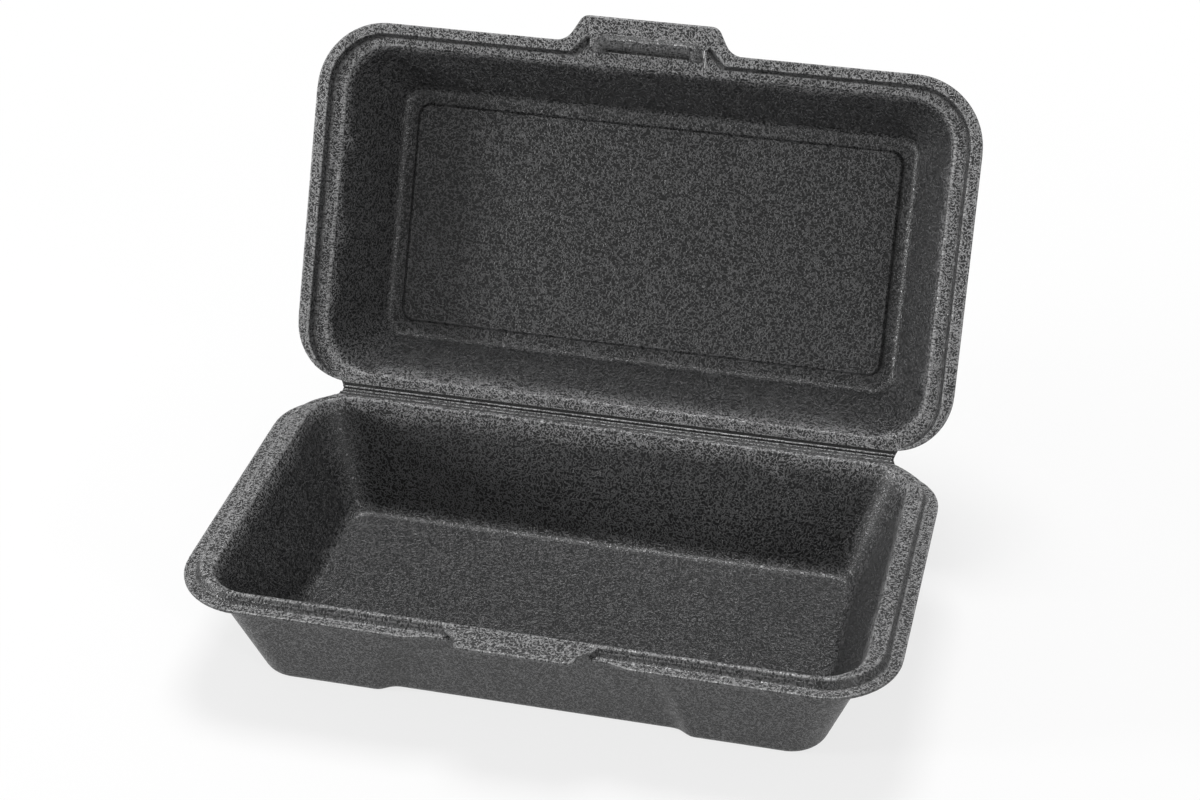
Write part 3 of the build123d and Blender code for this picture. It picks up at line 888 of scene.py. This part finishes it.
floor_tree.links.new(share, blend_in.inputs[0])
floor_tree.links.new(floor_shader.outputs[0], blend_in.inputs[1])
floor_tree.links.new(glow.outputs[0], blend_in.inputs[2])
floor_tree.links.new(
    blend_in.outputs[0], floor_tree.nodes["Material Output"].inputs["Surface"]
)
floor_data.materials.append(floor_paint)
print("floor white beside the container:", GLOW_NEAR)

# %% [markdown]
# ## Soft light
#
# Black foam is lit by what it reflects. White walls low all round and a darker ceiling give
# its satin skin a grey cast that fades as a face turns up. A soft lamp above lights every face
# that looks up, and two small ones low at the sides draw a bright line along each rounding and
# a glint on every grain.

# %% World and lamps
CEILING = 0.28           # light of the room overhead, where its walls give 1
WALLS_END = 0.04         # height of a direction, as a share, where the walls begin to darken
CEILING_FROM = 0.36      # and where the ceiling's light is reached
world = bpy.data.worlds.new("white_room")
bpy.context.scene.world = world
world.use_nodes = True
background = world.node_tree.nodes["Background"]
background.inputs["Color"].default_value = (1, 1, 1, 1)
heading = world.node_tree.nodes.new("ShaderNodeTexCoord")
parts = world.node_tree.nodes.new("ShaderNodeSeparateXYZ")
world.node_tree.links.new(heading.outputs["Generated"], parts.inputs[0])
level = world.node_tree.nodes.new("ShaderNodeMapRange")
level.interpolation_type = "SMOOTHSTEP"
level.inputs["From Min"].default_value = WALLS_END
level.inputs["From Max"].default_value = CEILING_FROM
level.inputs["To Min"].default_value = 1.0
level.inputs["To Max"].default_value = CEILING
world.node_tree.links.new(parts.outputs["Z"], level.inputs["Value"])
world.node_tree.links.new(level.outputs["Result"], background.inputs["Strength"])


def lamp(name, place, target, size, power):
    """A square soft lamp that looks at a point."""
    data = bpy.data.lights.new(name, "AREA")
    data.shape = "SQUARE"
    data.size = size
    data.energy = power
    made = bpy.data.objects.new(name, data)
    made.location = place
    made.rotation_euler = (Vector(target) - Vector(place)).to_track_quat("-Z", "Y").to_euler()
    bpy.context.scene.collection.objects.link(made)
    return made


lamp("lamp_above", (-0.1, 0.35, 1.3), (0, 0, 0.05), 0.5, 13)
lamp("lamp_left", (-1.25, -0.55, 0.32), (0, 0, 0.08), 0.28, 10.5)
lamp("lamp_right", (0.95, -0.85, 0.5), (0, 0, 0.05), 0.24, 3)

# %% [markdown]
# ## The camera
#
# The photograph was taken from in front and a little to the right, looking down by about a
# third of a right angle, with a lens that is long for the size of the thing. The container's
# own rim gives the place: its corners fit the picture only from there.

# %% Camera
AZIMUTH = math.radians(13.738)
ELEVATION = math.radians(32.498)
ROLL = math.radians(-0.326)
CAMERA_PLACE = Vector((0.178694, -0.682766, 0.543658))
LENS = 76.87
SENSOR = 36.0
NEAREST = 0.01
FARTHEST = 20.0
camera_data = bpy.data.cameras.new("camera")
camera_data.lens = LENS
camera_data.sensor_width = SENSOR
camera_data.clip_start = NEAREST
camera_data.clip_end = FARTHEST
camera = bpy.data.objects.new("camera", camera_data)
camera.location = CAMERA_PLACE
backward = Vector((math.sin(AZIMUTH) * math.cos(ELEVATION),
                   -math.cos(AZIMUTH) * math.cos(ELEVATION), math.sin(ELEVATION)))
turn = (-backward).to_track_quat("-Z", "Y").to_matrix() @ Matrix.Rotation(ROLL, 3, "Z")
camera.rotation_euler = turn.to_euler()
bpy.context.scene.collection.objects.link(camera)
bpy.context.scene.camera = camera
print("camera", round((CAMERA_PLACE - FOLD).length, 3), "metres from the fold line")

# %% [markdown]
# ## Picture settings
#
# The picture shows its colours plainly, through the standard view transform. The dressed model
# has to fill the measured one and go no further.

# %% Picture settings and the end
bpy.context.scene.view_settings.view_transform = "Standard"
